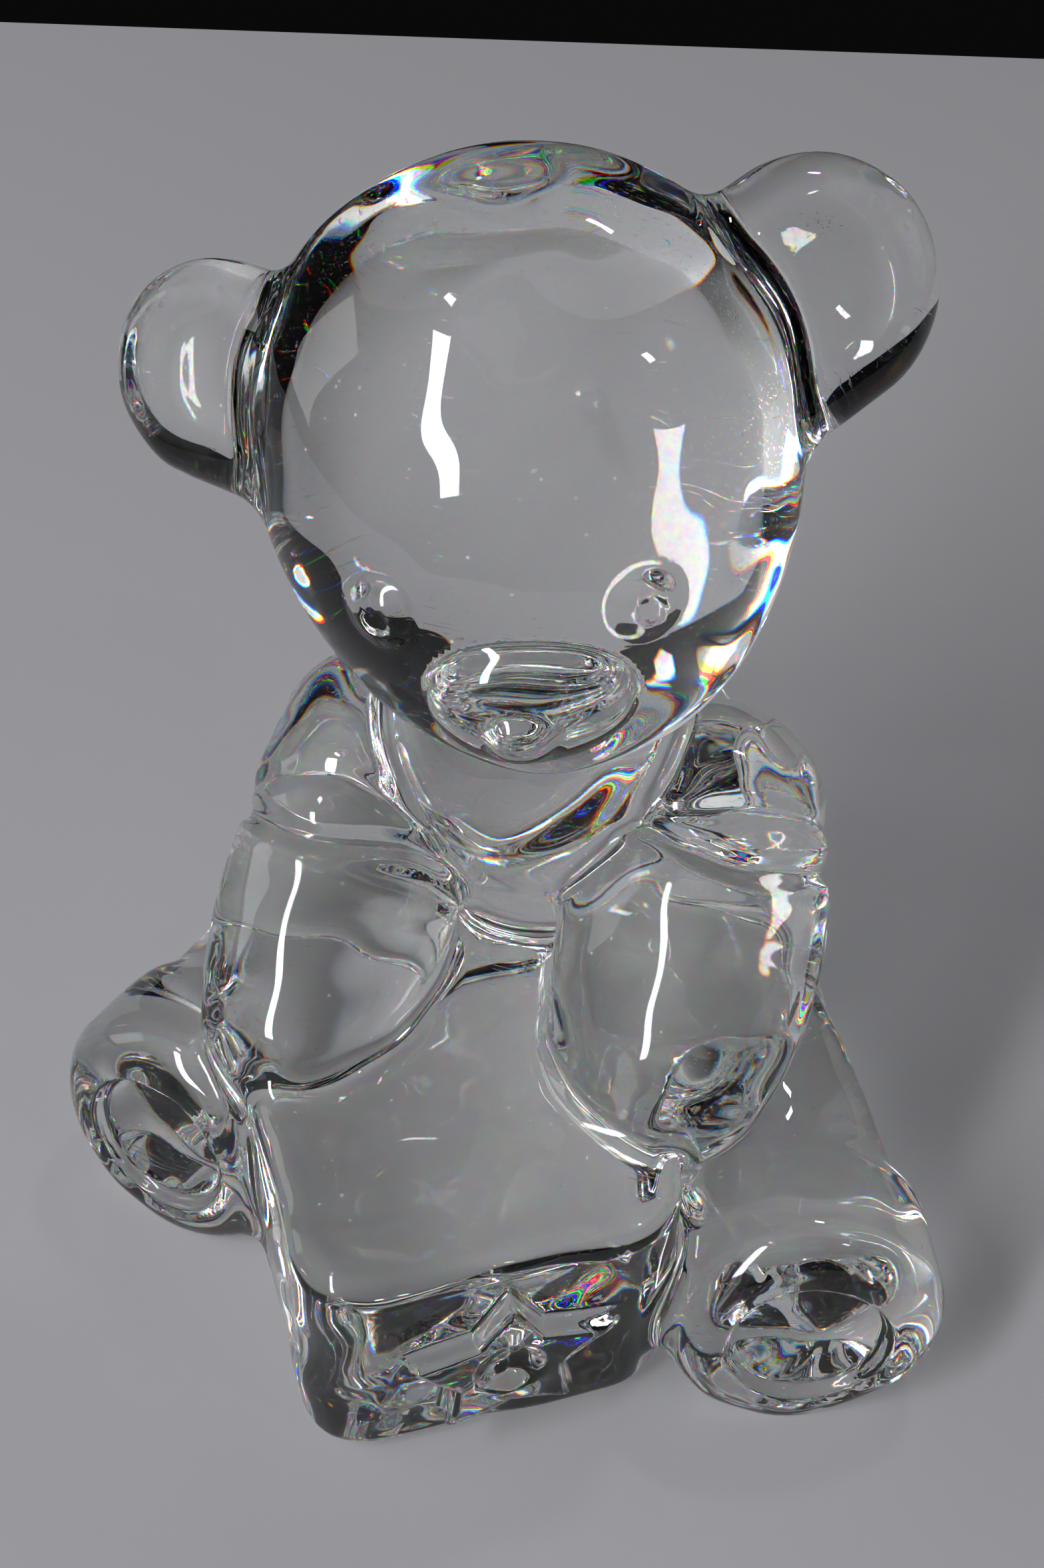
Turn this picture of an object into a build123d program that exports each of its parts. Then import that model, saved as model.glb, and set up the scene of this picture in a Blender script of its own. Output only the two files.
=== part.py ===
"""Seated glass teddy bear with a toy block between its paws, modelled as separate sculpted masses.

The bear faces -Y and its own left side is +X. The origin lies on the table under the middle of
the body. Neighbouring masses meet face to face along the creases of the glass, so no two overlap.
"""

from build123d import *

import os
from math import atan2, cos, degrees, hypot, radians, sin, sqrt

# Head: a cushion, flattened from the face to the back and leaning further back than the face.
HEAD_CENTRE = (-1.5, -12.7, 59.0)
HEAD_TILT = (-8.0, -9.5, 12.0)  # nod up, lean to the bear's right, turn to its left
SKULL_TILT = (-28.0, -14.5, 12.0)
SKULL_RADII = (16.2, 14.0, 18.5)

# Face. These and the other places on the head are in the head's own axes, from its centre.
MUZZLE_AT = (-0.2, -13.2, -6.7)
MUZZLE_RADII = (5.9, 3.2, 4.6)
MUZZLE_DROOP = 8.0
NOSE_OFFSET = (-0.5, -2.6, -0.6)  # from the middle of the muzzle
NOSE_RADII = (2.1, 1.4, 1.8)
LEFT_EYE_AT = (6.0, -11.45, -1.2)
RIGHT_EYE_AT = (-7.15, -10.7, -1.1)
EYE_TURN = 25.0
EYE_RADIUS = 2.8
PUPIL_RADIUS = 0.9
PUPIL_DEPTH = 0.35

# Ears: thick discs with a shallow dish in front.
LEFT_EAR_AT = (17.2, 5.0, 7.6)
LEFT_EAR_RADIUS = 7.4
RIGHT_EAR_AT = (-18.0, 3.6, 6.2)
RIGHT_EAR_RADIUS = 6.5
EAR_RUN = 6.0  # how far each ear runs straight back into the head
EAR_THICKNESS = 7.0
EAR_ROUNDING = 3.2
EAR_TURN = 25.0
EAR_LEAN = -28.0
EAR_DISH_RADIUS = 16.0
EAR_DISH_DEPTH = 0.7

# Body: an egg, wide at the seat and narrow at the shoulders.
SEAT_AT = (-0.4, 3.0, 13.0)
SEAT_RADIUS = 14.5
NECK_AT = (-0.8, -11.5, 36.0)
NECK_RADIUS = 9.5
BODY_BULGE = 200.0

# Arms: spindles from shoulder to paw. The left one rests lower and is the stouter.
LEFT_SHOULDER_AT = (11.9, -11.5, 30.8)
LEFT_PAW_AT = (12.2, -24.5, 20.5)
LEFT_ARM_END_RADIUS = 7.4
LEFT_ARM_MIDDLE_RADIUS = 8.5
RIGHT_SHOULDER_AT = (-11.4, -11.0, 30.0)
RIGHT_PAW_AT = (-12.6, -27.3, 19.8)
RIGHT_ARM_END_RADIUS = 6.6
RIGHT_ARM_MIDDLE_RADIUS = 7.4

# Legs and feet. Each foot is a thick disc whose sole faces outwards and a little upwards.
HIP_SPACING = 22.0
HIP_SETBACK = 4.5
LEG_HEIGHT = 8.0
HIP_RADIUS = 8.2
ANKLE_RADIUS = 7.6
ANKLE_SETBACK = 9.0  # from the sole's centre back to the end of the leg
ANKLE_INSET = 2.5
LEFT_SOLE_AT = (25.4, -36.2)
LEFT_SOLE_TURN = 17.5
RIGHT_SOLE_AT = (-22.0, -32.7)
RIGHT_SOLE_TURN = 19.0
SOLE_TILT = 9.0
SOLE_HEIGHT = 8.2
FOOT_RADIUS = 9.6
FOOT_THICKNESS = 11.6
FOOT_ROUNDING = 3.2
SOLE_DISH_RADIUS = 5.4
SOLE_DISH_DEPTH = 0.9
SOLE_DISH_ROUNDING = 0.6

# Toy block, turned on its upright axis, with a raised star on its front.
BLOCK_AT = (-0.5, -31.5)
BLOCK_TURN = 30.0
BLOCK_WIDTH = 26.0
BLOCK_HEIGHT = 20.8
BLOCK_CORNER_CUT = 3.0
BLOCK_ROUNDING = 2.4
ROOT_SIDES = (-8.0, 13.0)  # the back of the block runs on into the belly between these sides
ROOT_REACH = 17.5  # from the middle of the block
STAR_POINTS = 5
STAR_TIP_RADIUS = 7.4
STAR_WAIST_RADIUS = 4.0
STAR_ROUNDING = 0.7
STAR_RAISE = 1.6
STAR_DIMPLE_RADIUS = 2.1
STAR_DIMPLE_DEPTH = 0.8


def egg(wide_centre, wide_radius, narrow_centre, narrow_radius, side_radius):
    """Make a body of revolution from two round ends joined smoothly by one long side arc."""
    start = Vector(*wide_centre)
    spine = Vector(*narrow_centre) - start
    length = spine.length
    # The side arc touches both ends from outside, which fixes its centre beyond the spine.
    wide_gap = side_radius - wide_radius
    narrow_gap = side_radius - narrow_radius
    side_x = (wide_gap**2 - narrow_gap**2 + length**2) / (2 * length)
    side_y = -sqrt(wide_gap**2 - side_x**2)
    wide_touch = degrees(atan2(-side_y, -side_x))
    narrow_touch = degrees(atan2(-side_y, length - side_x))
    across = spine.cross(Vector(0, 0, 1) if hypot(spine.X, spine.Y) > 1 else Vector(1, 0, 0))
    with BuildPart() as body:
        with BuildSketch(Plane(origin=start, x_dir=spine, z_dir=across)):
            with BuildLine():
                CenterArc((0, 0), wide_radius, wide_touch, 180 - wide_touch)
                CenterArc((side_x, side_y), side_radius, narrow_touch, wide_touch - narrow_touch)
                CenterArc((length, 0), narrow_radius, 0, narrow_touch)
                Line((length + narrow_radius, 0), (-wide_radius, 0))
            make_face()
        revolve(axis=Axis(start, spine))
    return body.part


def spindle(start, end, end_radius, middle_radius):
    """Make an egg with two equal ends and the given radius half way along."""
    half_length = (Vector(*end) - Vector(*start)).length / 2
    swell = middle_radius - end_radius
    side_radius = (middle_radius**2 - end_radius**2 + half_length**2) / (2 * swell)
    return egg(start, end_radius, end, end_radius, side_radius)


def ellipsoid(plane, radii):
    """Make an ellipsoid with its centre and axes on the given plane."""
    with BuildPart() as ball:
        Sphere(1)
        scale(by=radii)
    return plane.location * ball.part


def carved(body, neighbours):
    """Take the neighbours and everything under the table away from a body and keep what is left."""
    with BuildPart() as piece:
        add(body)
        split(bisect_by=Plane.XY, keep=Keep.TOP)
        for neighbour in neighbours:
            add(neighbour, mode=Mode.SUBTRACT)
    return piece.part.solids().sort_by(SortBy.VOLUME)[-1]


def on_head(place, turn=(0, 0, 0)):
    """Return a plane at a place on the head, turned from the head's own axes."""
    head_plane = Plane(Location(HEAD_CENTRE, HEAD_TILT, Extrinsic.XYZ))
    origin = head_plane.from_local_coords(Vector(*place))
    moved = Plane(origin=origin, x_dir=head_plane.x_dir, z_dir=head_plane.z_dir)
    return moved.rotated(turn)


def make_head():
    skull = Plane(Location(HEAD_CENTRE, SKULL_TILT, Extrinsic.XYZ))
    return ellipsoid(skull, SKULL_RADII)


def make_ear(side, place, radius):
    """A thick disc that runs straight back into the head, dished in front and leaning back."""
    facing = on_head(place, (0, 0, side * EAR_TURN)).rotated((90 + EAR_LEAN, 0, 0))
    inwards = Vector(*HEAD_CENTRE) - facing.origin
    inwards -= facing.z_dir * inwards.dot(facing.z_dir)
    dish_centre = facing.offset(EAR_THICKNESS / 2 + EAR_DISH_RADIUS - EAR_DISH_DEPTH)
    with BuildPart() as ear:
        with BuildSketch(Plane(origin=facing.origin, x_dir=inwards, z_dir=facing.z_dir)):
            with Locations((EAR_RUN / 2, 0)):
                SlotCenterToCenter(EAR_RUN, 2 * radius)
        extrude(amount=EAR_THICKNESS / 2, both=True)
        rims = ear.faces().filter_by(GeomType.PLANE).sort_by(SortBy.AREA)[-2:]
        fillet(rims.edges(), EAR_ROUNDING)
    with BuildPart(dish_centre) as dish:
        Sphere(EAR_DISH_RADIUS)
    return carved(ear.part, [dish.part])


def make_eye(side, place):
    """A dome with a small round pupil pressed into its top."""
    looking = on_head(place, (0, 0, side * EYE_TURN))
    looking = looking.rotated((90, 0, 0))
    with BuildPart(looking) as eye:
        Sphere(EYE_RADIUS)
    with BuildPart(looking.offset(EYE_RADIUS - PUPIL_DEPTH)) as pupil:
        Cylinder(PUPIL_RADIUS, EYE_RADIUS, align=(Align.CENTER, Align.CENTER, Align.MIN))
    return carved(eye.part, [pupil.part])


def sole_plane(place, turn, side):
    """Return the plane of a sole, with its normal pointing out of the foot."""
    outwards = radians(turn)
    upwards = radians(SOLE_TILT)
    normal = (side * sin(outwards) * cos(upwards), -cos(outwards) * cos(upwards), sin(upwards))
    return Plane(origin=(*place, SOLE_HEIGHT), x_dir=(cos(outwards), side * sin(outwards), 0), z_dir=normal)


def make_foot(sole):
    """A thick rounded disc with a round dish pressed into the sole."""
    behind = (Align.CENTER, Align.CENTER, Align.MAX)
    with BuildPart(sole) as foot:
        Cylinder(FOOT_RADIUS, FOOT_THICKNESS, align=behind)
        fillet(foot.edges().filter_by(GeomType.CIRCLE), FOOT_ROUNDING)
        Cylinder(SOLE_DISH_RADIUS, SOLE_DISH_DEPTH, align=behind, mode=Mode.SUBTRACT)
        dish_floor = foot.faces().filter_by(GeomType.PLANE).sort_by(Axis(sole.origin, sole.z_dir))[-2]
        fillet(dish_floor.edges(), SOLE_DISH_ROUNDING)
    return foot.part


def make_leg(side, sole_place):
    """A nearly straight round leg from the hip to the foot."""
    hip = (side * HIP_SPACING / 2, -HIP_SETBACK, LEG_HEIGHT)
    ankle = (sole_place[0] - side * ANKLE_INSET, sole_place[1] + ANKLE_SETBACK, LEG_HEIGHT)
    straight_side = 400.0
    return egg(hip, HIP_RADIUS, ankle, ANKLE_RADIUS, straight_side)


def block_front():
    """Return the plane of the block's front face, at its middle, with its normal outwards."""
    turn = radians(BLOCK_TURN)
    outwards = Vector(sin(turn), -cos(turn), 0)
    middle = Vector(*BLOCK_AT, BLOCK_HEIGHT / 2) + outwards * (BLOCK_WIDTH / 2)
    return Plane(origin=middle, x_dir=(cos(turn), sin(turn), 0), z_dir=outwards)


def make_block():
    """A cube-like block with cut corners and softened edges, whose back runs into the belly."""
    root_width = ROOT_SIDES[1] - ROOT_SIDES[0]
    standing = Plane(Location((*BLOCK_AT, 0), (0, 0, BLOCK_TURN)))
    with BuildPart(standing) as block:
        Box(BLOCK_WIDTH, BLOCK_WIDTH, BLOCK_HEIGHT, align=(Align.CENTER, Align.CENTER, Align.MIN))
        chamfer(block.edges().filter_by(Axis.Z), BLOCK_CORNER_CUT)
        fillet(block.faces().sort_by(Axis.Z)[-1].edges(), BLOCK_ROUNDING)
        with Locations((ROOT_SIDES[0], 0)):
            Box(root_width, ROOT_REACH, BLOCK_HEIGHT, align=Align.MIN)
    return block.part


def make_star():
    """A raised star with blunt points and a dimple in its middle."""
    half_step = 180 / STAR_POINTS
    corners = []
    for index in range(2 * STAR_POINTS):
        reach = STAR_WAIST_RADIUS if index % 2 else STAR_TIP_RADIUS
        angle = radians(90 + index * half_step)
        corners.append((reach * cos(angle), reach * sin(angle)))
    with BuildPart() as star:
        with BuildSketch(block_front()) as outline:
            with BuildLine():
                Polyline(*corners, close=True)
            make_face()
            fillet(outline.vertices(), STAR_ROUNDING)
        extrude(amount=STAR_RAISE)
        with BuildSketch(block_front().offset(STAR_RAISE)):
            Circle(STAR_DIMPLE_RADIUS)
        extrude(amount=-STAR_DIMPLE_DEPTH, mode=Mode.SUBTRACT)
    return star.part


left_sole = sole_plane(LEFT_SOLE_AT, LEFT_SOLE_TURN, 1)
right_sole = sole_plane(RIGHT_SOLE_AT, RIGHT_SOLE_TURN, -1)
muzzle_plane = on_head(MUZZLE_AT, (MUZZLE_DROOP, 0, 0))
nose_plane = Plane(
    origin=muzzle_plane.from_local_coords(Vector(*NOSE_OFFSET)),
    x_dir=muzzle_plane.x_dir,
    z_dir=muzzle_plane.z_dir,
)

# Whole pieces come first, and each later piece is cut back to those that it meets.
head = make_head()
toy_block = make_block()
torso = carved(egg(SEAT_AT, SEAT_RADIUS, NECK_AT, NECK_RADIUS, BODY_BULGE), [head, toy_block])
muzzle = carved(ellipsoid(muzzle_plane, MUZZLE_RADII), [head])
nose = carved(ellipsoid(nose_plane, NOSE_RADII), [head, muzzle])
left_arm_body = spindle(
    LEFT_SHOULDER_AT, LEFT_PAW_AT, LEFT_ARM_END_RADIUS, LEFT_ARM_MIDDLE_RADIUS
)
right_arm_body = spindle(
    RIGHT_SHOULDER_AT, RIGHT_PAW_AT, RIGHT_ARM_END_RADIUS, RIGHT_ARM_MIDDLE_RADIUS
)
left_arm = carved(left_arm_body, [head, torso, toy_block])
right_arm = carved(right_arm_body, [head, torso, toy_block])
left_foot = carved(make_foot(left_sole), [toy_block])
right_foot = carved(make_foot(right_sole), [toy_block, right_arm])

pieces = {
    "head": head,
    "muzzle": muzzle,
    "nose": nose,
    "left_eye": carved(make_eye(1, LEFT_EYE_AT), [head]),
    "right_eye": carved(make_eye(-1, RIGHT_EYE_AT), [head]),
    "left_ear": carved(make_ear(1, LEFT_EAR_AT, LEFT_EAR_RADIUS), [head]),
    "right_ear": carved(make_ear(-1, RIGHT_EAR_AT, RIGHT_EAR_RADIUS), [head]),
    "torso": torso,
    "left_arm": left_arm,
    "right_arm": right_arm,
    "left_leg": carved(make_leg(1, LEFT_SOLE_AT), [torso, toy_block, left_foot, left_arm]),
    "right_leg": carved(make_leg(-1, RIGHT_SOLE_AT), [torso, toy_block, right_foot, right_arm]),
    "left_foot": left_foot,
    "right_foot": right_foot,
    "toy_block": toy_block,
    "block_star": make_star(),
}

os.makedirs("parts", exist_ok=True)
for name, piece in pieces.items():
    piece.label = name
    export_step(piece, f"parts/{name}.step")
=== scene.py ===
"""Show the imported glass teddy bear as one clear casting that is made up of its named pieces.

The masses of the bear are described once more here as fields of signed distance, placed by the
frame. Their soft union is the outer skin of the casting. The skin is meshed finely, because light
bends at every bit of it, and then cut along the creases into one piece for each node of the frame.
"""

import bpy
import numpy as np
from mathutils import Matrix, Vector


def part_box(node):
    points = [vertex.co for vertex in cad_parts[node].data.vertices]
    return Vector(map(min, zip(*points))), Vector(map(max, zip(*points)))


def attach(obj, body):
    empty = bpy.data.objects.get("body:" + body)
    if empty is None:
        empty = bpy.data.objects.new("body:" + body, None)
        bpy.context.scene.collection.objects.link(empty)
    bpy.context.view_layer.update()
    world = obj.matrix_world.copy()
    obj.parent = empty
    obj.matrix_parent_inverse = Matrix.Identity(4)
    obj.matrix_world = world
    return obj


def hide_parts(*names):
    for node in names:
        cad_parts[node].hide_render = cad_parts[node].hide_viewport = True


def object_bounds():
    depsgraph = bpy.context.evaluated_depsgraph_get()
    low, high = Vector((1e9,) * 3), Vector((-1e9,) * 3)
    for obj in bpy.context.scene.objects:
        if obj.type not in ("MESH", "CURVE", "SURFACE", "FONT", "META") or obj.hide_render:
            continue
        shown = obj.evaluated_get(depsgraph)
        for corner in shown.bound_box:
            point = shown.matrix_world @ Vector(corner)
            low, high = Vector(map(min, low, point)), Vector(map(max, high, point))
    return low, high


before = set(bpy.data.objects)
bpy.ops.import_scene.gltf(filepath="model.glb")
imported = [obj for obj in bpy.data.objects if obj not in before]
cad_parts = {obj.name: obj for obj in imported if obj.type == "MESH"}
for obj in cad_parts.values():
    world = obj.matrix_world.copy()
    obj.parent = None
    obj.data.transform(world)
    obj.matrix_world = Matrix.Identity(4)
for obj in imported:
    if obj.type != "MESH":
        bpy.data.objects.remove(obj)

import openvdb
from mathutils import Matrix, Vector

bpy.context.view_layer.update()
cad_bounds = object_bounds()
cad_low, cad_high = (np.array(corner) for corner in cad_bounds)

# All lengths below are nominal millimetres, which follow the height of the frame. Angles are in
# degrees. A bulge is the radius of the long arc that the side of a mass follows.
NOMINAL_HEIGHT = 76.5
MM = (cad_high[2] - cad_low[2]) / NOMINAL_HEIGHT

# Head: a cushion that leans further back than the face on it.
HEAD_TILT = (-8.0, -9.5, 12.0)  # nod up, lean to the bear's right, turn to its left
SKULL_TILT = (-28.0, -14.0, 12.0)
SKULL_RADII = (16.2, 14.0, 18.5)
SKULL_TAPER = 0.1  # wider at the crown than at the chin

# Face and ears, from the middle of the head towards its left, its back and its crown.
MUZZLE_AT = (-0.2, -13.2, -6.7)
MUZZLE_RADII = (5.9, 3.2, 4.6)
MUZZLE_DROOP = 8.0
NOSE_OFFSET = (-0.5, -2.6, -0.6)  # from the middle of the muzzle
NOSE_RADII = (2.1, 1.4, 1.8)
LEFT_EYE_AT = (6.0, -11.45, -1.2)
RIGHT_EYE_AT = (-7.15, -10.7, -1.1)
EYE_TURN = 25.0
EYE_RADIUS = 2.8
PUPIL_RADIUS = 0.9
PUPIL_DEPTH = 0.35
PUPIL_SOFTNESS = 0.2
LEFT_EAR_AT = (17.2, 5.0, 7.6)
LEFT_EAR_RADIUS = 7.4
RIGHT_EAR_AT = (-18.0, 3.6, 6.2)
RIGHT_EAR_RADIUS = 6.5
EAR_TURN = 25.0
EAR_LEAN = -28.0
EAR_RUN = 6.0  # how far each ear runs straight back into the head
EAR_THICKNESS = 7.0
EAR_ROUNDING = 3.2
EAR_DISH_RADIUS = 16.0
EAR_DISH_DEPTH = 0.7
EAR_DISH_SOFTNESS = 0.5

# Body, arms and legs. Offsets are from the middle of the box of the node itself.
SEAT_OFFSET = (0.0, 4.75, -9.2)
SEAT_RADIUS = 14.5
NECK_OFFSET = (-0.4, -9.75, 13.8)
NECK_RADIUS = 9.5
BODY_BULGE = 200.0
LEFT_SHOULDER_OFFSET = (-0.15, 6.5, 5.15)
LEFT_PAW_OFFSET = (0.15, -6.5, -5.15)
LEFT_ARM = {
    "shoulder": 7.8,
    "paw": 7.4,
    "bulge": 34.0,
    "folds": ((2.6, 0.7, 0.8), (0.2, 0.3, 0.8)),  # distance from the shoulder, depth and width
}
RIGHT_SHOULDER_OFFSET = (0.6, 8.2, 4.65)
RIGHT_PAW_OFFSET = (-0.6, -8.1, -5.45)
RIGHT_ARM = {
    "shoulder": 7.3,
    "paw": 6.6,
    "bulge": 46.0,
    "folds": ((7.4, 0.7, 0.8), (4.6, 0.3, 0.8)),
}
FOLD_SWAY = 0.8
FOLD_WAVE = 2.2
LEFT_HIP_OFFSET = (-5.8, 7.7, -0.1)
LEFT_ANKLE_OFFSET = (6.1, -15.0, -0.1)
RIGHT_HIP_OFFSET = (4.2, 5.9, -0.1)
RIGHT_ANKLE_OFFSET = (-4.3, -13.3, -0.1)
HIP_RADIUS = 8.2
ANKLE_RADIUS = 7.6
LEG_BULGE = 400.0

# Feet.
LEFT_SOLE_OFFSET = (1.7, -5.45, -0.4)
LEFT_SOLE_TURN = 17.5
RIGHT_SOLE_OFFSET = (-0.1, -5.4, -0.4)
RIGHT_SOLE_TURN = -19.0
SOLE_TILT = 9.0
FOOT_RADIUS = 9.6
FOOT_THICKNESS = 11.6
FOOT_ROUNDING = 3.2
SOLE_DISH_RADIUS = 5.4
SOLE_DISH_DEPTH = 0.9
SOLE_DISH_SOFTNESS = 0.6

# Toy block and its star.
BLOCK_TURN = 30.0
BLOCK_WIDTH = 26.0
BLOCK_HEIGHT = 20.8
BLOCK_CORNER_CUT = 3.0
BLOCK_TOP_ROUNDING = 1.9
BLOCK_SIDE_ROUNDING = 0.8
BLOCK_ROOT_SIDES = (-8.0, 13.0)  # the back of the block runs on into the belly
BLOCK_ROOT_DEPTH = 17.5
STAR_POINTS = 5
STAR_TIP_RADIUS = 7.4
STAR_WAIST_RADIUS = 4.0
STAR_RAISE = 1.6
STAR_EDGE_ROUNDING = 0.55
STAR_DIMPLE_RADIUS = 3.0
STAR_DIMPLE_DEPTH = 1.1
STAR_DIMPLE_SOFTNESS = 0.4

# How softly each mass runs into the ones before it.
CREASE_SOFTNESS = {
    "torso": 1.0,
    "left_leg": 1.2,
    "right_leg": 1.2,
    "left_foot": 0.9,
    "right_foot": 0.9,
    "left_arm": 1.6,
    "right_arm": 1.6,
    "toy_block": 2.0,
    "block_star": 0.5,
    "head": 1.2,
    "left_ear": 1.4,
    "right_ear": 1.4,
    "muzzle": 0.5,
    "nose": 0.5,
    "left_eye": 0.4,
    "right_eye": 0.4,
}
BASE_SOFTNESS = 0.3

# Small raised features, which are a little duller than the rest and free of dust.
GROUND_PIECES = ("nose", "left_eye", "right_eye", "block_star")

# Ripples of the surface: the length of each wave and its rise.
RIPPLES = (
    (11.0, 0.055),
    (9.0, 0.04),
    (7.5, 0.03),
    (6.1, 0.02),
    (5.2, 0.016),
    (4.3, 0.012),
    (3.7, 0.01),
)
GOLDEN_ANGLE = np.pi * (3 - np.sqrt(5))  # turns each wave away from all the others
RIPPLE_CLIMB = 0.8
RIPPLE_CLIMB_STEP = 3.0  # radians
NECK_SPAN = (40.0, 48.0)  # between these heights the ripples calm down from the body to the head
BODY_RIPPLES = 1.7

# Meshing.
SKIN_VOXEL = 0.36
SKIN_MARGIN = 4 * SKIN_VOXEL
TOOL_VOXEL = 0.7
TOOL_REACH = 3.0  # how far a cutting tool stands proud of its mass
TOOL_MARGIN = TOOL_REACH + 2.0
BLOCK_VOXELS = 4
NEAR_BLOCKS = 1.2  # only blocks that are this near to the surface are sampled at every voxel
SETTLING_ROUNDS = 3
LEAST_RATE = 0.25  # keeps the steps of settling short where a field is nearly flat
SLOPE_STEP = 0.02
TINY = 1e-9  # keeps divisions away from zero

# Glass. Where a band is given, noise below it has no effect and noise above it has the full one.
GLASS_INDEX = 1.545
GLASS_DISPERSION = 0.008
GLASS_TINT = (0.985, 0.99, 0.985, 1)
SHADOW_PASS = 0.33  # the share of light that a shadow keeps at each surface of the glass
GLASS_BOUNCES = 24
SCRATCH_TURN = (0.4, 0.9, 0.3)  # radians
SCRATCH_STRETCH = (0.12, 6.0, 6.0)
SCRATCH_DETAIL = 3.0
SCRATCH_BAND = (0.66, 0.72)
SCRATCH_DEPTH = 0.02
SCRATCH_STRENGTH = 0.25
SMEARS_PER_MM = 0.16
SMEAR_DETAIL = 5.0
SMEAR_BAND = (0.52, 0.75)
SPECKS_PER_MM = 0.9
SPECK_EDGE = (0.05, 0.14)
DUST_PATCHES_PER_MM = 0.3
DUST_PATCH_DETAIL = 2.0
DUST_PATCH_BAND = (0.5, 0.7)
DUST_COLOUR = (0.8, 0.79, 0.77, 1)

# Table top. It is turned about the upright axis, and its reaches are from the frame's origin.
FLOOR_COLOUR = (0.4, 0.4, 0.42, 1)
FLOOR_ROUGHNESS = 0.85
FLOOR_SHINE = 0.2
FLOOR_TURN = 13.6
FLOOR_GAP = 0.05  # a sliver of air under the flat base
FLOOR_FAR = 139.0
FLOOR_NEAR = 500.0
FLOOR_SIDE = 450.0

# Room and camera. An azimuth is counted from the front to the bear's left.
LAMP_DISTANCE = 700.0
ROOM_BRIGHTEST = (-39, 44)  # azimuth and elevation
ROOM_GLOW_START = 0.55
ROOM_DARK = (0.005, 0.005, 0.005, 1)
ROOM_BRIGHT = (0.8, 0.8, 0.81, 1)
CAMERA_AZIMUTH = 11.67
CAMERA_ELEVATION = 47.72
CAMERA_ROLL = 3.03
CAMERA_DISTANCE = 125.0
CAMERA_AIM = (0.520, 0.230, 0.704)  # where the camera looks, as a share of the bear's box
CAMERA_FIELD = 37.7
CAMERA_NEAREST = 1.0


def turned(about_x, about_y, about_z):
    """Return the rotation that turns about X, then Y, then Z, in degrees, as rows and columns."""
    angles = np.radians((about_x, about_y, about_z))
    spins = [Matrix.Rotation(angle, 3, axis) for angle, axis in zip(angles, "XYZ")]
    return np.array(spins[2] @ spins[1] @ spins[0])


def middle(node, offset=(0, 0, 0)):
    """Return the middle of a node's box, shifted by an offset."""
    low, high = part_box(node)
    return np.array(low + high) / 2 / MM + offset


def size_of(node):
    """Return the space that a node's box takes up."""
    low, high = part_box(node)
    return np.prod(high - low)


def length_of(vectors):
    return np.sqrt((vectors * vectors).sum(-1))


def soft_union(first, second, softness):
    """Join two fields and fill the crease between them with a small round."""
    blend = np.maximum(softness - np.abs(first - second), 0) / softness
    return np.minimum(first, second) - blend * blend * softness / 4


def soft_cut(field, tool, softness):
    """Take a tool's field away from a field and round the edge that it leaves."""
    return -soft_union(-field, tool, softness)


def rounded_prism(across, along, rounding):
    """Join the distances outside a prism's wall and its ends with a round edge."""
    over_wall = across + rounding
    over_end = along + rounding
    outside = np.hypot(np.maximum(over_wall, 0), np.maximum(over_end, 0))
    return outside + np.minimum(np.maximum(over_wall, over_end), 0) - rounding


def away_from_axis(offset, along):
    """Return how far points lie from an axis, from their offsets and their places along it."""
    return np.sqrt(np.maximum((offset * offset).sum(-1) - along * along, 0))


def egg(wide_centre, wide_radius, narrow_centre, narrow_radius, side_radius):
    """A body of revolution: two round ends joined smoothly by one long side arc."""
    spine = narrow_centre - wide_centre
    length = length_of(spine)
    spine = spine / length
    wide_gap = side_radius - wide_radius
    narrow_gap = side_radius - narrow_radius
    side_x = (wide_gap**2 - narrow_gap**2 + length**2) / (2 * length)
    side_y = -np.sqrt(wide_gap**2 - side_x**2)

    def field(points):
        offset = points - wide_centre
        x = offset @ spine
        y = away_from_axis(offset, x)
        past_wide = side_y * (x - side_x) - side_x * (y - side_y) > 0
        past_narrow = (length - side_x) * (y - side_y) + side_y * (x - side_x) < 0
        wide_end = np.hypot(x, y) - wide_radius
        narrow_end = np.hypot(x - length, y) - narrow_radius
        side = np.hypot(x - side_x, y - side_y) - side_radius
        return np.where(past_wide, wide_end, np.where(past_narrow, narrow_end, side))

    return field


def ellipsoid(centre, radii, axes, taper=0.0):
    """A ball stretched along its axes. With a taper, its upper half is wider than its lower half."""
    radii = np.array(radii)

    def field(points):
        local = (points - centre) @ axes
        local[:, 0] /= 1 + taper * np.clip(local[:, 2] / radii[2], -1, 1)
        near = length_of(local / radii)
        far = length_of(local / radii**2)
        return near * (near - 1) / np.maximum(far, TINY)

    return field


def disc(centre, normal, radius, thickness, rounding, run=None):
    """A flat round disc with rounded rims, its middle at the centre, drawn out along a run."""

    def field(points):
        offset = points - centre
        if run is not None:
            offset = offset - np.clip(offset @ run / (run @ run), 0, 1)[:, None] * run
        along = offset @ normal
        across = away_from_axis(offset, along)
        return rounded_prism(across - radius, np.abs(along) - thickness / 2, rounding)

    return field


def ball(centre, radius):
    return lambda points: length_of(points - centre) - radius


def eye(centre, turn, head_axes):
    """A dome with a small round pupil pressed into its top."""
    looking = head_axes @ turned(0, 0, turn) @ (0, -1, 0)
    dome = ball(centre, EYE_RADIUS)
    pupil_middle = centre + looking * (EYE_RADIUS - PUPIL_DEPTH + PUPIL_RADIUS)
    pupil = disc(pupil_middle, looking, PUPIL_RADIUS, 2 * PUPIL_RADIUS, PUPIL_SOFTNESS)
    return lambda points: soft_cut(dome(points), pupil(points), PUPIL_SOFTNESS)


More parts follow.
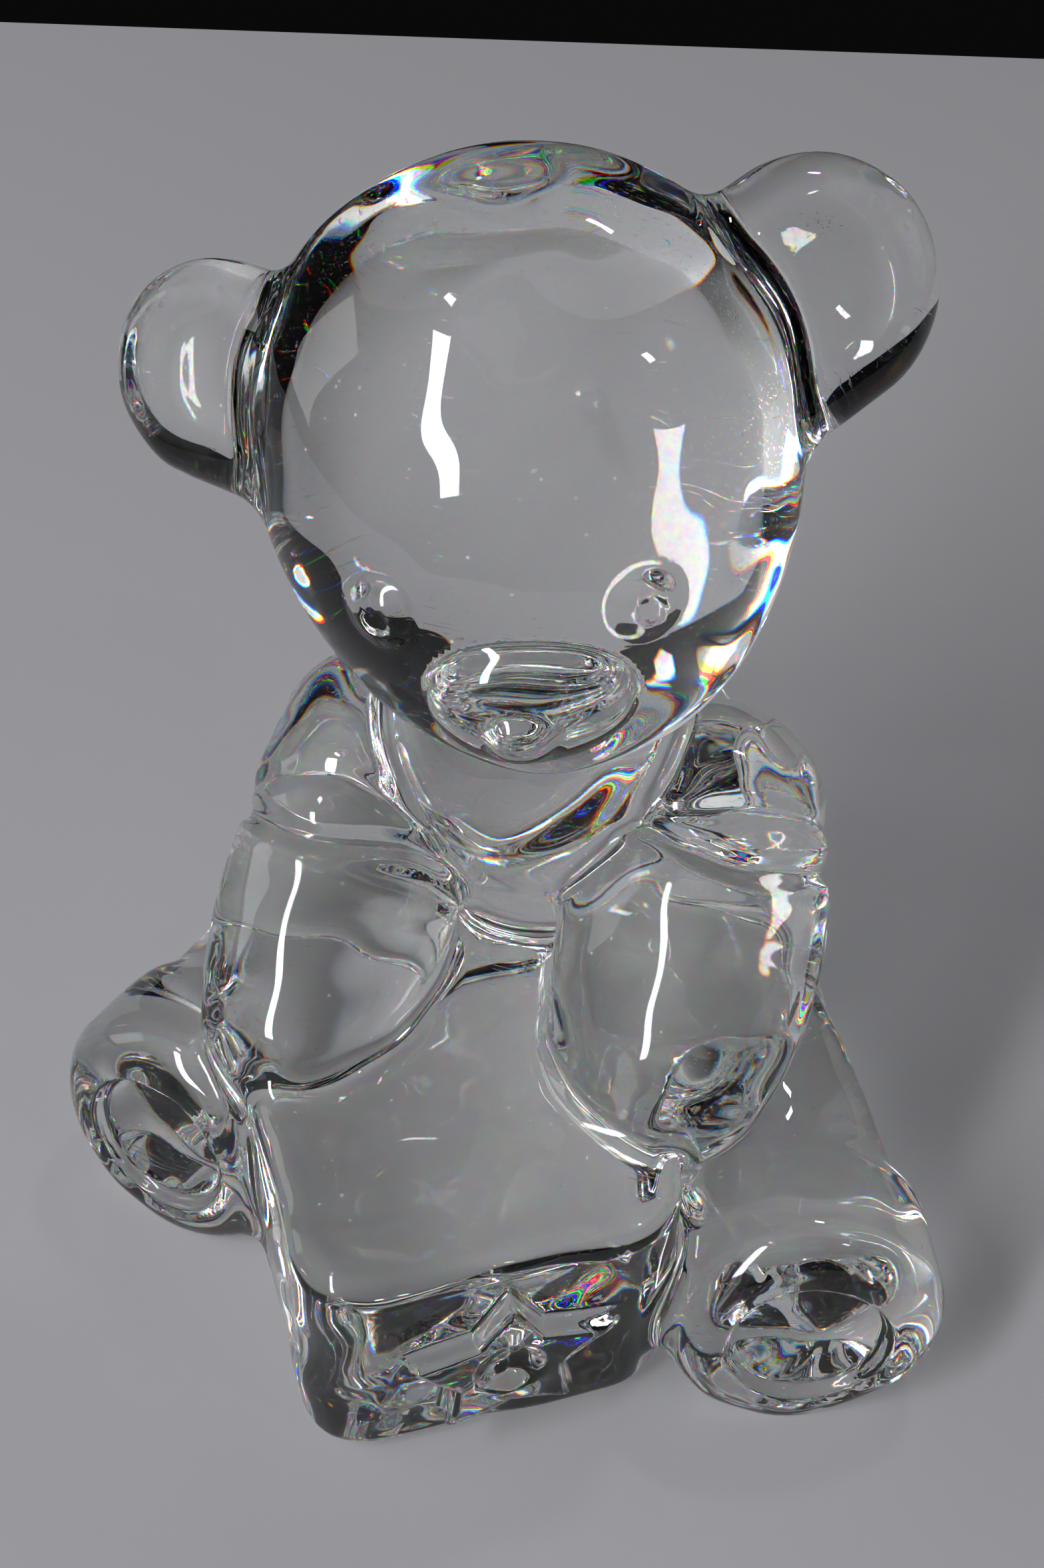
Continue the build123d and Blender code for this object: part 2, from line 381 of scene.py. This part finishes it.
def ear(centre, radius, turn, head_axes):
    """A thick disc that runs straight back into the head, dished in front."""
    normal = head_axes @ turned(0, 0, turn) @ turned(EAR_LEAN, 0, 0) @ (0, -1, 0)
    inwards = middle("head") - centre
    inwards -= normal * (inwards @ normal)
    inwards *= EAR_RUN / length_of(inwards)
    body = disc(centre, normal, radius, EAR_THICKNESS, EAR_ROUNDING, inwards)
    dish_distance = EAR_THICKNESS / 2 + EAR_DISH_RADIUS - EAR_DISH_DEPTH
    dish = ball(centre + normal * dish_distance, EAR_DISH_RADIUS)
    return lambda points: soft_cut(body(points), dish(points), EAR_DISH_SOFTNESS)


def arm(node, shoulder_offset, paw_offset, shape):
    """A stout round arm with folds across it at the elbow."""
    start = middle(node, shoulder_offset)
    end = middle(node, paw_offset)
    spine = (end - start) / length_of(end - start)
    sideways = np.cross(spine, (0, 0, 1))
    body = egg(start, shape["shoulder"], end, shape["paw"], shape["bulge"])

    def field(points):
        distance = body(points)
        along = (points - start) @ spine
        across = (points - start) @ sideways
        for place, depth, width in shape["folds"]:
            swayed = place + FOLD_SWAY * np.sin(across / FOLD_WAVE + place)
            distance = distance + depth * np.exp(-(((along - swayed) / width) ** 2))
        return distance

    return field


def leg(node, hip_offset, ankle_offset):
    """A nearly straight round leg from the hip to the foot."""
    hip = middle(node, hip_offset)
    ankle = middle(node, ankle_offset)
    return egg(hip, HIP_RADIUS, ankle, ANKLE_RADIUS, LEG_BULGE)


def foot(node, sole_offset, turn):
    """A thick rounded disc with a round dish pressed into the sole."""
    sole = middle(node, sole_offset)
    normal = turned(0, 0, turn) @ turned(-SOLE_TILT, 0, 0) @ (0, -1, 0)
    centre = sole - normal * FOOT_THICKNESS / 2
    body = disc(centre, normal, FOOT_RADIUS, FOOT_THICKNESS, FOOT_ROUNDING)
    dish = disc(sole, normal, SOLE_DISH_RADIUS, 2 * SOLE_DISH_DEPTH, SOLE_DISH_SOFTNESS)
    return lambda points: soft_cut(body(points), dish(points), SOLE_DISH_SOFTNESS)


def block_axes():
    """Return the block's own axes as columns: along its front, into its back, and up."""
    return turned(0, 0, BLOCK_TURN)


def block_middle():
    """Return the middle of the cube, found from the front of its box.

    The back of the box belongs to the root, which runs on into the belly.
    """
    low, high = (np.array(corner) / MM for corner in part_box("toy_block"))
    half_turned_width = (high[0] - low[0]) / 2
    half_height = (high[2] - low[2]) / 2
    return low + (half_turned_width, half_turned_width, half_height)


def toy_block():
    """A cube-like block with its upright corners cut off and soft edges round its top."""
    centre = block_middle()
    axes = block_axes()
    half_width = BLOCK_WIDTH / 2
    half_height = BLOCK_HEIGHT / 2
    corner_reach = (BLOCK_WIDTH - BLOCK_CORNER_CUT) / np.sqrt(2)
    root_left, root_right = BLOCK_ROOT_SIDES
    root_middle = np.array((root_left + root_right, BLOCK_ROOT_DEPTH)) / 2
    root_half_sides = np.array((root_right - root_left, BLOCK_ROOT_DEPTH)) / 2

    def field(points):
        offset = (points - centre) @ axes
        local = np.abs(offset)
        wide, deep, high = local[:, 0], local[:, 1], local[:, 2]
        over_side = np.maximum(wide, deep) - half_width
        over_corner = (wide + deep) / np.sqrt(2) - corner_reach
        wall = soft_union(-over_side, -over_corner, 2 * BLOCK_SIDE_ROUNDING)
        cube = rounded_prism(-wall, high - half_height, BLOCK_TOP_ROUNDING)
        over_root = np.abs(offset[:, :2] - root_middle) - root_half_sides
        root = rounded_prism(over_root.max(-1), high - half_height, BLOCK_TOP_ROUNDING)
        return np.minimum(cube, root)

    return field


def star():
    """A raised star with blunt points, soft edges and a dimple in its middle."""
    axes = block_axes()
    outwards = -axes[:, 1]
    centre = block_middle() + outwards * BLOCK_WIDTH / 2
    sector = np.pi / STAR_POINTS
    tip = np.array((STAR_TIP_RADIUS, 0.0))
    waist = STAR_WAIST_RADIUS * np.array((np.cos(sector), np.sin(sector)))
    edge = (waist - tip) / length_of(waist - tip)
    dimple_distance = STAR_RAISE + STAR_DIMPLE_RADIUS - STAR_DIMPLE_DEPTH
    dimple = ball(centre + outwards * dimple_distance, STAR_DIMPLE_RADIUS)

    def field(points):
        local = (points - centre) @ axes
        side, up = local[:, 0], local[:, 2]
        reach = np.hypot(side, up)
        swing = np.arctan2(side, up)
        folded = np.abs((swing + sector) % (2 * sector) - sector)
        x = reach * np.cos(folded) - tip[0]
        y = reach * np.sin(folded)
        over_edge = x * edge[1] - y * edge[0]
        over_end = np.abs(local[:, 1]) - STAR_RAISE
        raised = rounded_prism(over_edge, over_end, STAR_EDGE_ROUNDING)
        return soft_cut(raised, dimple(points), STAR_DIMPLE_SOFTNESS)

    return field


def bear_masses():
    """Return the field of each mass, in the order in which they run into one another."""
    head_at = middle("head")
    head_axes = turned(*HEAD_TILT)
    muzzle_axes = head_axes @ turned(MUZZLE_DROOP, 0, 0)
    muzzle_at = head_at + head_axes @ MUZZLE_AT
    nose_at = muzzle_at + muzzle_axes @ NOSE_OFFSET
    left_ear_at = head_at + head_axes @ LEFT_EAR_AT
    right_ear_at = head_at + head_axes @ RIGHT_EAR_AT
    seat = middle("torso", SEAT_OFFSET)
    neck = middle("torso", NECK_OFFSET)
    return {
        "torso": egg(seat, SEAT_RADIUS, neck, NECK_RADIUS, BODY_BULGE),
        "left_leg": leg("left_leg", LEFT_HIP_OFFSET, LEFT_ANKLE_OFFSET),
        "right_leg": leg("right_leg", RIGHT_HIP_OFFSET, RIGHT_ANKLE_OFFSET),
        "left_foot": foot("left_foot", LEFT_SOLE_OFFSET, LEFT_SOLE_TURN),
        "right_foot": foot("right_foot", RIGHT_SOLE_OFFSET, RIGHT_SOLE_TURN),
        "left_arm": arm("left_arm", LEFT_SHOULDER_OFFSET, LEFT_PAW_OFFSET, LEFT_ARM),
        "right_arm": arm("right_arm", RIGHT_SHOULDER_OFFSET, RIGHT_PAW_OFFSET, RIGHT_ARM),
        "toy_block": toy_block(),
        "block_star": star(),
        "head": ellipsoid(head_at, SKULL_RADII, turned(*SKULL_TILT), SKULL_TAPER),
        "left_ear": ear(left_ear_at, LEFT_EAR_RADIUS, EAR_TURN, head_axes),
        "right_ear": ear(right_ear_at, RIGHT_EAR_RADIUS, -EAR_TURN, head_axes),
        "muzzle": ellipsoid(muzzle_at, MUZZLE_RADII, muzzle_axes),
        "nose": ellipsoid(nose_at, NOSE_RADII, muzzle_axes),
        "left_eye": eye(head_at + head_axes @ LEFT_EYE_AT, EYE_TURN, head_axes),
        "right_eye": eye(head_at + head_axes @ RIGHT_EYE_AT, -EYE_TURN, head_axes),
    }


def ripples(points):
    """The faint unevenness of a pressed and fire-polished surface."""
    height = 0
    for index, (length, rise) in enumerate(RIPPLES):
        lean = index * GOLDEN_ANGLE
        climb = RIPPLE_CLIMB * np.cos(RIPPLE_CLIMB_STEP * index)
        heading = np.array((np.cos(lean), np.sin(lean), climb)) / np.hypot(1, climb)
        height = height + rise * np.sin(points @ heading * (2 * np.pi / length) + index)
    return height * np.interp(points[:, 2], NECK_SPAN, (BODY_RIPPLES, 1.0))


def skin_field(masses):
    """Return the field of the whole casting: every mass softly joined, with a flat ground base."""

    def field(points):
        skin = None
        for name, mass in masses.items():
            distance = mass(points)
            skin = distance if skin is None else soft_union(skin, distance, CREASE_SOFTNESS[name])
        return soft_cut(skin + ripples(points), points[:, 2], BASE_SOFTNESS)

    return field


def slopes(field, points):
    """Return the direction in which a field grows fastest, with its rate as the length."""
    growth = [field(points + shift) - field(points - shift) for shift in np.eye(3) * SLOPE_STEP]
    return np.stack(growth, -1) / (2 * SLOPE_STEP)


def grid_places(counts):
    """Return the whole-number places of a grid, one row for each."""
    return np.stack(np.meshgrid(*map(np.arange, counts), indexing="ij"), -1).reshape(-1, 3)


def surface_of(field, low, high, voxel):
    """Mesh the zero surface of a field inside a box, and return its points and faces.

    The box is filled with blocks of voxels. A block far from the surface is sampled once.
    """
    side = BLOCK_VOXELS
    block = side * voxel
    counts = np.ceil((high - low) / block).astype(int)
    corners = grid_places(counts)
    values = field(low + (corners + 0.5) * block)
    near = np.abs(values) < NEAR_BLOCKS * block
    inner = grid_places([side] * 3)
    cells = np.repeat(values[:, None], len(inner), axis=1)
    samples = corners[near][:, None] * side + inner[None] + 0.5
    cells[near] = field(low + samples.reshape(-1, 3) * voxel).reshape(-1, len(inner))
    dense = cells.reshape(*counts, side, side, side).transpose(0, 3, 1, 4, 2, 5)
    dense = np.ascontiguousarray(dense.reshape(*(counts * side)), dtype=np.float32)
    volume = openvdb.FloatGrid(float(dense.max()) + 1.0)
    volume.copyFromArray(dense)
    points, quads = volume.convertToQuads(isovalue=0.0)
    return low + (points.astype(float) + 0.5) * voxel, quads.astype(np.int32)


def settled(field, points):
    """Move points that lie near a field's zero surface exactly onto it."""
    for _ in range(SETTLING_ROUNDS):
        growth = slopes(field, points)
        rate = np.maximum((growth * growth).sum(-1), LEAST_RATE)
        points = points - growth * (field(points) / rate)[:, None]
    return points


def add_mesh(name, points, faces, material):
    """Make an object from points in nominal millimetres and quads, with its faces outwards."""
    mesh = bpy.data.meshes.new(name)
    mesh.from_pydata((points * MM).tolist(), [], faces.tolist())
    a, b, c = (points[faces[:, i]] for i in range(3))
    if np.einsum("ij,ij->", a, np.cross(b - a, c - a)) < 0:
        mesh.flip_normals()
    mesh.materials.append(material)
    item = bpy.data.objects.new(name, mesh)
    bpy.context.scene.collection.objects.link(item)
    return item


def boolean(body, tool, operation, name):
    """Return a new mesh: the body's common part with a tool, or the body without the tool."""
    step = body.modifiers.new("cut", "BOOLEAN")
    step.solver = "MANIFOLD"
    step.operation = operation
    step.object = tool
    step.material_mode = "TRANSFER"
    bpy.context.view_layer.update()
    cut_body = body.evaluated_get(bpy.context.evaluated_depsgraph_get())
    result = bpy.data.meshes.new_from_object(cut_body)
    result.name = name
    body.modifiers.remove(step)
    return result


def tool_field(masses, name, others):
    """Return the field of the space that belongs to one mass rather than to the others."""

    def field(points):
        own = masses[name](points)
        rest = np.min([masses[other](points) for other in others], axis=0)
        return np.maximum(own - rest, own - TOOL_REACH)

    return field


def read(collection, attribute, size=1, kind=float):
    """Read one attribute of the points, corners or faces of a mesh into an array."""
    values = np.empty(len(collection) * size, kind)
    collection.foreach_get(attribute, values)
    return values.reshape(-1, size) if size > 1 else values


def polish(piece, field, skin_material):
    """Give the outer faces of a piece the exact normals of the skin, and its cuts flat ones."""
    mesh = piece.data
    growth = slopes(field, read(mesh.vertices, "co", 3) / MM)
    growth /= np.maximum(length_of(growth), TINY)[:, None]
    corner_counts = read(mesh.polygons, "loop_total", kind=int)
    materials = read(mesh.polygons, "material_index", kind=int)
    corners = read(mesh.loops, "vertex_index", kind=int)
    is_skin = materials == list(mesh.materials).index(skin_material)
    outer = np.repeat(is_skin, corner_counts)
    normals = np.repeat(read(mesh.polygons, "normal", 3), corner_counts, axis=0)
    normals[outer] = growth[corners[outer]]
    mesh.polygons.foreach_set("use_smooth", [True] * len(mesh.polygons))
    mesh.normals_split_custom_set(normals.tolist())


def cut_up(skin, masses, field, cut_material):
    """Cut the skin along its creases into one object for each mass."""
    skin_material = skin.data.materials[0]
    order = sorted(masses, key=size_of)
    order.remove("torso")
    pieces = {}
    waiting = order + ["torso"]
    for name in order:
        waiting.remove(name)
        low, high = (np.array(corner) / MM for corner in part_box(name))
        own_space = tool_field(masses, name, waiting)
        surface = surface_of(own_space, low - TOOL_MARGIN, high + TOOL_MARGIN, TOOL_VOXEL)
        tool = add_mesh("tool", *surface, cut_material)
        part = boolean(skin, tool, "INTERSECT", "glass_" + name)
        rest = boolean(skin, tool, "DIFFERENCE", "rest")
        pieces[name] = bpy.data.objects.new("glass_" + name, part)
        bpy.context.scene.collection.objects.link(pieces[name])
        skin.data = rest
        bpy.data.objects.remove(tool)
    skin.name = "glass_torso"
    pieces["torso"] = skin
    for piece in pieces.values():
        polish(piece, field, skin_material)
    return pieces


def add_node(tree, kind, inputs=(), **settings):
    """Add a shader node. Each of its inputs takes a value or a link from another node."""
    node = tree.nodes.new(kind)
    for key, value in settings.items():
        setattr(node, key, value)
    for key, value in dict(inputs).items():
        if isinstance(value, bpy.types.NodeSocket):
            tree.links.new(value, node.inputs[key])
        else:
            node.inputs[key].default_value = value
    return node


def mapped(tree, value, band, low, high):
    """Map a band of values to the range from low to high, and hold the ends outside the band."""
    inputs = {0: value, 1: band[0], 2: band[1], 3: low, 4: high}
    return add_node(tree, "ShaderNodeMapRange", inputs).outputs[0]


def combined(tree, operation, first, second):
    """Combine two values by one step of arithmetic."""
    return add_node(tree, "ShaderNodeMath", {0: first, 1: second}, operation=operation).outputs[0]


def noise(tree, place, scale, detail):
    """Cloudy values between about 0.3 and 0.7 that vary over space."""
    inputs = {"Vector": place, "Scale": scale, "Detail": detail}
    return add_node(tree, "ShaderNodeTexNoise", inputs).outputs[0]


def new_material(name):
    """Return a new material, its node tree and the node that holds its plain surface."""
    material = bpy.data.materials.new(name)
    material.use_nodes = True
    return material, material.node_tree, material.node_tree.nodes["Principled BSDF"]


def glass(tree, colour, index_of_refraction, roughness, normal):
    """Glass for one colour of light."""
    inputs = {"Color": colour, "Roughness": roughness, "IOR": index_of_refraction, "Normal": normal}
    return add_node(tree, "ShaderNodeBsdfGlass", inputs).outputs[0]


def glass_shader(tree, roughness, normal):
    """Clear glass that splits white light a little into colours where the camera first sees it."""
    red = glass(tree, (1, 0, 0, 1), GLASS_INDEX - GLASS_DISPERSION, roughness, normal)
    green = glass(tree, (0, 1, 0, 1), GLASS_INDEX, roughness, normal)
    blue = glass(tree, (0, 0, 1, 1), GLASS_INDEX + GLASS_DISPERSION, roughness, normal)
    yellow = add_node(tree, "ShaderNodeAddShader", {0: red, 1: green}).outputs[0]
    split = add_node(tree, "ShaderNodeAddShader", {0: yellow, 1: blue}).outputs[0]
    white = glass(tree, GLASS_TINT, GLASS_INDEX, roughness, normal)
    path = add_node(tree, "ShaderNodeLightPath")
    inside = combined(tree, "GREATER_THAN", path.outputs["Ray Depth"], 0.5)
    seen = add_node(tree, "ShaderNodeMixShader", {0: inside, 1: split, 2: white}).outputs[0]
    share = (SHADOW_PASS, SHADOW_PASS, SHADOW_PASS, 1)
    passed = add_node(tree, "ShaderNodeBsdfTransparent", {"Color": share}).outputs[0]
    shadow = path.outputs["Is Shadow Ray"]
    return add_node(tree, "ShaderNodeMixShader", {0: shadow, 1: seen, 2: passed}).outputs[0]


def scratch_bump(tree, place):
    """Hairline scratches: the crests of a noise that is drawn out along one direction."""
    scale = [stretch / MM for stretch in SCRATCH_STRETCH]
    inputs = {"Vector": place, "Rotation": SCRATCH_TURN, "Scale": scale}
    drawn_out = add_node(tree, "ShaderNodeMapping", inputs).outputs[0]
    grooves = mapped(tree, noise(tree, drawn_out, 1.0, SCRATCH_DETAIL), SCRATCH_BAND, 0.0, 1.0)
    inputs = {"Strength": SCRATCH_STRENGTH, "Distance": SCRATCH_DEPTH * MM, "Height": grooves}
    return add_node(tree, "ShaderNodeBump", inputs).outputs[0]


def dust_share(tree, place, cover):
    """Fine specks of dust that gather in patches."""
    inputs = {"Vector": place, "Scale": SPECKS_PER_MM / MM}
    specks = add_node(tree, "ShaderNodeTexVoronoi", inputs).outputs["Distance"]
    near = mapped(tree, specks, SPECK_EDGE, 1.0, 0.0)
    patches = noise(tree, place, DUST_PATCHES_PER_MM / MM, DUST_PATCH_DETAIL)
    return combined(tree, "MULTIPLY", near, mapped(tree, patches, DUST_PATCH_BAND, 0.0, cover))


def crystal_material(name, smear_roughness, dust_cover):
    """Clear crystal with hairline scratches, a few finger smears and fine dust."""
    material, tree, plain = new_material(name)
    tree.nodes.remove(plain)
    place = add_node(tree, "ShaderNodeTexCoord").outputs["Object"]
    smears = noise(tree, place, SMEARS_PER_MM / MM, SMEAR_DETAIL)
    roughness = mapped(tree, smears, SMEAR_BAND, 0.0, smear_roughness)
    clear = glass_shader(tree, roughness, scratch_bump(tree, place))
    dust = add_node(tree, "ShaderNodeBsdfDiffuse", {"Color": DUST_COLOUR}).outputs[0]
    shares = {0: dust_share(tree, place, dust_cover), 1: clear, 2: dust}
    dusty = add_node(tree, "ShaderNodeMixShader", shares).outputs[0]
    tree.links.new(dusty, tree.nodes["Material Output"].inputs["Surface"])
    return material


def joint_material():
    """Nothing is seen of a joint inside the casting, so light passes it unbent."""
    material, tree, plain = new_material("fused joint")
    tree.nodes.remove(plain)
    clear = add_node(tree, "ShaderNodeBsdfTransparent").outputs[0]
    tree.links.new(clear, tree.nodes["Material Output"].inputs["Surface"])
    return material


def add_floor():
    """A plain pale table top whose far edge lies just inside the top of the view."""
    material, _, surface = new_material("pale table")
    surface.inputs["Base Color"].default_value = FLOOR_COLOUR
    surface.inputs["Roughness"].default_value = FLOOR_ROUGHNESS
    surface.inputs["Specular IOR Level"].default_value = FLOOR_SHINE
    outline = [
        (-FLOOR_SIDE, -FLOOR_NEAR),
        (FLOOR_SIDE, -FLOOR_NEAR),
        (FLOOR_SIDE, FLOOR_FAR),
        (-FLOOR_SIDE, FLOOR_FAR),
    ]
    turn = Matrix.Rotation(np.radians(FLOOR_TURN), 3, "Z")
    places = [turn @ Vector((x * MM, y * MM, -FLOOR_GAP * MM)) for x, y in outline]
    mesh = bpy.data.meshes.new("floor")
    mesh.from_pydata(places, [], [(0, 1, 2, 3)])
    mesh.materials.append(material)
    floor = bpy.data.objects.new("floor", mesh)
    bpy.context.scene.collection.objects.link(floor)


def direction(azimuth, elevation):
    """Return the unit vector towards an azimuth and an elevation."""
    a, e = np.radians((azimuth, elevation))
    return Vector((np.sin(a) * np.cos(e), -np.cos(a) * np.cos(e), np.sin(e)))


def facing_place(target, towards, distance, roll):
    """Return the place and turn of something that looks at a target from a direction."""
    spin = Matrix.Rotation(np.radians(roll), 3, "Z")
    facing = towards.to_track_quat("Z", "Y").to_matrix() @ spin
    return Matrix.Translation(target + towards * distance * MM) @ facing.to_4x4()


def dim_through_glass(light, share):
    """Show a light at a share of its strength where the camera sees it through glass."""
    light.use_nodes = True
    tree = light.node_tree
    path = add_node(tree, "ShaderNodeLightPath").outputs
    unscattered = combined(tree, "LESS_THAN", path["Diffuse Depth"], 0.5)
    through = combined(tree, "MULTIPLY", unscattered, path["Is Transmission Ray"])
    strength = mapped(tree, through, (0.0, 1.0), 1.0, share)
    tree.links.new(strength, tree.nodes["Emission"].inputs["Strength"])


def add_soft_light(name, place, size, power, roll=0, through_glass=1.0):
    """A rectangular soft light at an azimuth and elevation, facing the middle of the bear."""
    light = bpy.data.lights.new(name, "AREA")
    if through_glass < 1:
        dim_through_glass(light, through_glass)
    light.shape = "RECTANGLE"
    light.size = size[0] * MM
    light.size_y = size[1] * MM
    light.energy = power
    lamp = bpy.data.objects.new(name, light)
    bear_middle = Vector((cad_low + cad_high) / 2)
    lamp.matrix_world = facing_place(bear_middle, direction(*place), LAMP_DISTANCE, roll)
    bpy.context.scene.collection.objects.link(lamp)


def add_world():
    """A dark room that brightens towards the windows above and to the left of the camera."""
    world = bpy.data.worlds.new("room")
    bpy.context.scene.world = world
    world.use_nodes = True
    tree = world.node_tree
    seen = add_node(tree, "ShaderNodeTexCoord").outputs["Generated"]
    inputs = {0: seen, 1: direction(*ROOM_BRIGHTEST)}
    nearness = add_node(tree, "ShaderNodeVectorMath", inputs, operation="DOT_PRODUCT")
    ramp = add_node(tree, "ShaderNodeValToRGB", {"Fac": nearness.outputs["Value"]})
    tree.links.new(ramp.outputs["Color"], tree.nodes["Background"].inputs["Color"])
    dark, bright = ramp.color_ramp.elements
    dark.position = ROOM_GLOW_START
    dark.color = ROOM_DARK
    bright.color = ROOM_BRIGHT


def add_camera():
    """A camera above the front of the bear, close enough for a strong perspective."""
    data = bpy.data.cameras.new("camera")
    data.sensor_fit = "VERTICAL"
    data.lens_unit = "FOV"
    data.angle = np.radians(CAMERA_FIELD)
    data.clip_start = CAMERA_NEAREST * MM
    camera = bpy.data.objects.new("camera", data)
    aim = Vector(cad_low + (cad_high - cad_low) * CAMERA_AIM)
    away = direction(CAMERA_AZIMUTH, CAMERA_ELEVATION)
    camera.matrix_world = facing_place(aim, away, CAMERA_DISTANCE, CAMERA_ROLL)
    bpy.context.scene.collection.objects.link(camera)
    bpy.context.scene.camera = camera


masses = bear_masses()
skin_distance = skin_field(masses)
skin_low = cad_low / MM - SKIN_MARGIN
skin_high = cad_high / MM + SKIN_MARGIN
skin_points, skin_faces = surface_of(skin_distance, skin_low, skin_high, SKIN_VOXEL)
skin_points = settled(skin_distance, skin_points)
crystal = crystal_material("clear crystal", smear_roughness=0.03, dust_cover=0.5)
ground_crystal = crystal_material("ground crystal", smear_roughness=0.06, dust_cover=0.0)
skin = add_mesh("skin", skin_points, skin_faces, crystal)
pieces = cut_up(skin, masses, skin_distance, joint_material())
for name, piece in pieces.items():
    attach(piece, "root")
    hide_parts(name)
    if name in GROUND_PIECES:
        piece.data.materials[0] = ground_crystal

add_floor()
add_world()
add_camera()
add_soft_light("window", (-33, 36), (85, 600), 3.4, roll=28, through_glass=0.03)
add_soft_light("side window", (-85, 14), (250, 350), 0.4, through_glass=0.4)
add_soft_light("left lamp", (-60, 62), (60, 30), 0.1, roll=20)
add_soft_light("right lamp", (70, 50), (30, 60), 0.1)
add_soft_light("back lamp", (165, 60), (90, 30), 0.3)

scene = bpy.context.scene
scene.view_settings.view_transform = "Standard"
scene.view_settings.look = "Medium High Contrast"
scene.cycles.max_bounces = GLASS_BOUNCES
scene.cycles.transmission_bounces = GLASS_BOUNCES
scene.cycles.glossy_bounces = 8
scene.cycles.transparent_max_bounces = 96
scene.cycles.sample_clamp_indirect = 10.0
